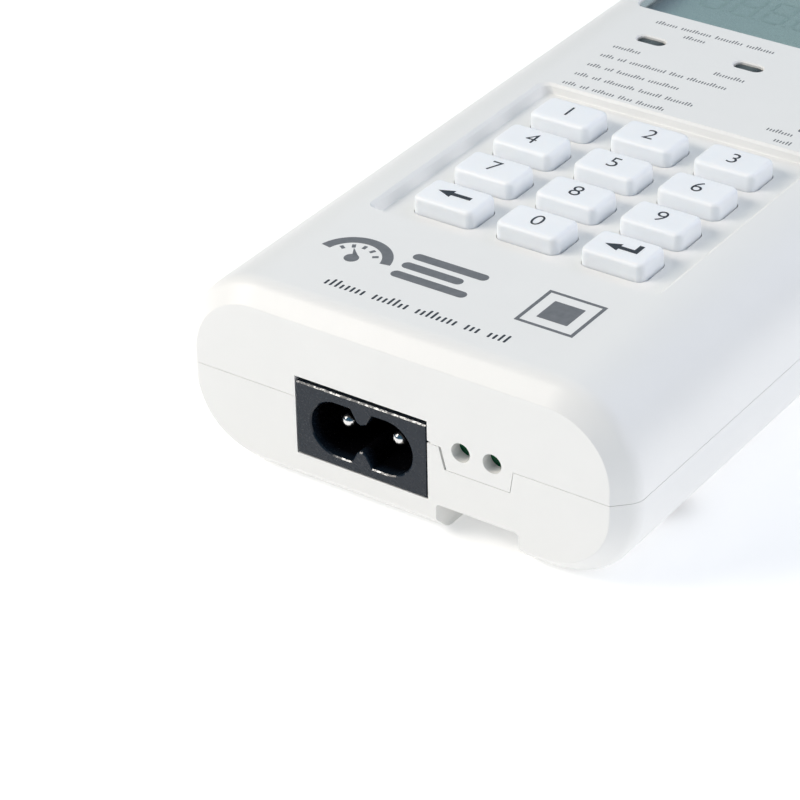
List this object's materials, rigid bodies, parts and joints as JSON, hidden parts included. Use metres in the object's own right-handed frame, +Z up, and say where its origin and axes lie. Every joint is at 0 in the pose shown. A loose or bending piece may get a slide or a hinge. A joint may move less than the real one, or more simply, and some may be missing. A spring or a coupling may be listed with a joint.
{
  "type": "prepaid meter keypad unit",
  "caption": "Pale handheld keypad unit of a split prepaid electricity meter: silicone keys and display on top, figure-8 mains inlet and wire terminals in the end.",
  "frame": {"origin": "middle of the box's footprint, on the plane of the underside", "axes": "+Y along the case from the mains inlet's end to the display's end, +Z up out of the keypad, +X to the right of someone who reads the keys"},
  "size_m": [0.074, 0.155, 0.0311],
  "materials": {
    "case_plastic": "fine spark texture, pale off-white",
    "key_silicone": "smooth translucent white silicone",
    "inlet_plastic": "dark grey moulded",
    "pin_metal": "nickel-plated, polished",
    "display_pane": "clear, flat",
    "lcd": "grey-green liquid crystal panel",
    "smoked_window": "smoked",
    "white_plastic": "moulded",
    "conductive_rubber": "matt",
    "led_body": "clear epoxy",
    "circuit_board": "solder mask",
    "terminal_plastic": "moulded green",
    "steel": "zinc-plated",
    "cell_jacket": "printed sleeve",
    "component_plastic": "moulded",
    "ferrite": "sintered",
    "winding_tape": "polyester tape",
    "capacitor_case": "epoxy-filled box",
    "varistor_epoxy": "dipped epoxy",
    "fuse_glass": "glass with metal caps",
    "aluminium_can": "sleeved can"
  },
  "bodies": {
    "case": {"front_case": "case_plastic", "rear_case": "case_plastic", "display_window": "display_pane", "lcd_glass": "lcd", "lcd_frame": "white_plastic", "lcd_backlight": "white_plastic", "display_connector_strip": "conductive_rubber", "keypad_mat": "key_silicone", "main_board": "circuit_board", "inlet_housing": "inlet_plastic", "inlet_pin_left": "pin_metal", "inlet_pin_right": "pin_metal", "terminal_block": "terminal_plastic", "transformer_core": "ferrite", "transformer_winding": "winding_tape", "suppression_capacitor": "capacitor_case", "coupling_transformer": "component_plastic", "smoothing_capacitor": "aluminium_can", "buzzer": "component_plastic", "microcontroller": "component_plastic", "surge_varistor": "varistor_epoxy", "mains_fuse": "fuse_glass", "contact_negative": "pin_metal", "contact_bridge_near": "pin_metal", "contact_bridge_far": "pin_metal", "contact_positive": "pin_metal", "case_screw_1": "steel", "case_screw_2": "steel", "case_screw_3": "steel", "case_screw_4": "steel", "cell_1": "cell_jacket", "cell_2": "cell_jacket", "cell_3": "cell_jacket", "indicator_window_left": "smoked_window", "indicator_led_left": "led_body", "indicator_window_middle": "smoked_window", "indicator_led_middle": "led_body", "indicator_window_right": "smoked_window", "indicator_led_right": "led_body"},
    "key_back": {"key_back": "key_silicone"},
    "key_0": {"key_0": "key_silicone"},
    "key_enter": {"key_enter": "key_silicone"},
    "key_7": {"key_7": "key_silicone"},
    "key_8": {"key_8": "key_silicone"},
    "key_9": {"key_9": "key_silicone"},
    "key_4": {"key_4": "key_silicone"},
    "key_5": {"key_5": "key_silicone"},
    "key_6": {"key_6": "key_silicone"},
    "key_1": {"key_1": "key_silicone"},
    "key_2": {"key_2": "key_silicone"},
    "key_3": {"key_3": "key_silicone"},
    "battery_door": {"battery_door": "case_plastic"},
    "clamp_screw_1": {"clamp_screw_1": "steel"},
    "clamp_screw_2": {"clamp_screw_2": "steel"}
  },
  "joints": [
    {"name": "key_back_press", "type": "slide", "parent": "case", "child": "key_back", "axis": [0, 0, 1], "range_m": [-0.001, 0], "stiffness_N_per_m": 900},
    {"name": "key_0_press", "type": "slide", "parent": "case", "child": "key_0", "axis": [0, 0, 1], "range_m": [-0.001, 0], "stiffness_N_per_m": 900},
    {"name": "key_enter_press", "type": "slide", "parent": "case", "child": "key_enter", "axis": [0, 0, 1], "range_m": [-0.001, 0], "stiffness_N_per_m": 900},
    {"name": "key_7_press", "type": "slide", "parent": "case", "child": "key_7", "axis": [0, 0, 1], "range_m": [-0.001, 0], "stiffness_N_per_m": 900},
    {"name": "key_8_press", "type": "slide", "parent": "case", "child": "key_8", "axis": [0, 0, 1], "range_m": [-0.001, 0], "stiffness_N_per_m": 900},
    {"name": "key_9_press", "type": "slide", "parent": "case", "child": "key_9", "axis": [0, 0, 1], "range_m": [-0.001, 0], "stiffness_N_per_m": 900},
    {"name": "key_4_press", "type": "slide", "parent": "case", "child": "key_4", "axis": [0, 0, 1], "range_m": [-0.001, 0], "stiffness_N_per_m": 900},
    {"name": "key_5_press", "type": "slide", "parent": "case", "child": "key_5", "axis": [0, 0, 1], "range_m": [-0.001, 0], "stiffness_N_per_m": 900},
    {"name": "key_6_press", "type": "slide", "parent": "case", "child": "key_6", "axis": [0, 0, 1], "range_m": [-0.001, 0], "stiffness_N_per_m": 900},
    {"name": "key_1_press", "type": "slide", "parent": "case", "child": "key_1", "axis": [0, 0, 1], "range_m": [-0.001, 0], "stiffness_N_per_m": 900},
    {"name": "key_2_press", "type": "slide", "parent": "case", "child": "key_2", "axis": [0, 0, 1], "range_m": [-0.001, 0], "stiffness_N_per_m": 900},
    {"name": "key_3_press", "type": "slide", "parent": "case", "child": "key_3", "axis": [0, 0, 1], "range_m": [-0.001, 0], "stiffness_N_per_m": 900},
    {"name": "battery_door_slide", "type": "slide", "parent": "case", "child": "battery_door", "axis": [0, 1, 0], "range_m": [0, 0.07]},
    {"name": "clamp_screw_1_turn", "type": "hinge", "parent": "case", "child": "clamp_screw_1", "pos_m": [0.01058, -0.0739, 0.0152], "axis": [0, 1, 0], "continuous": true},
    {"name": "clamp_screw_2_turn", "type": "hinge", "parent": "case", "child": "clamp_screw_2", "pos_m": [0.01563, -0.0739, 0.0152], "axis": [0, 1, 0], "continuous": true}
  ]
}
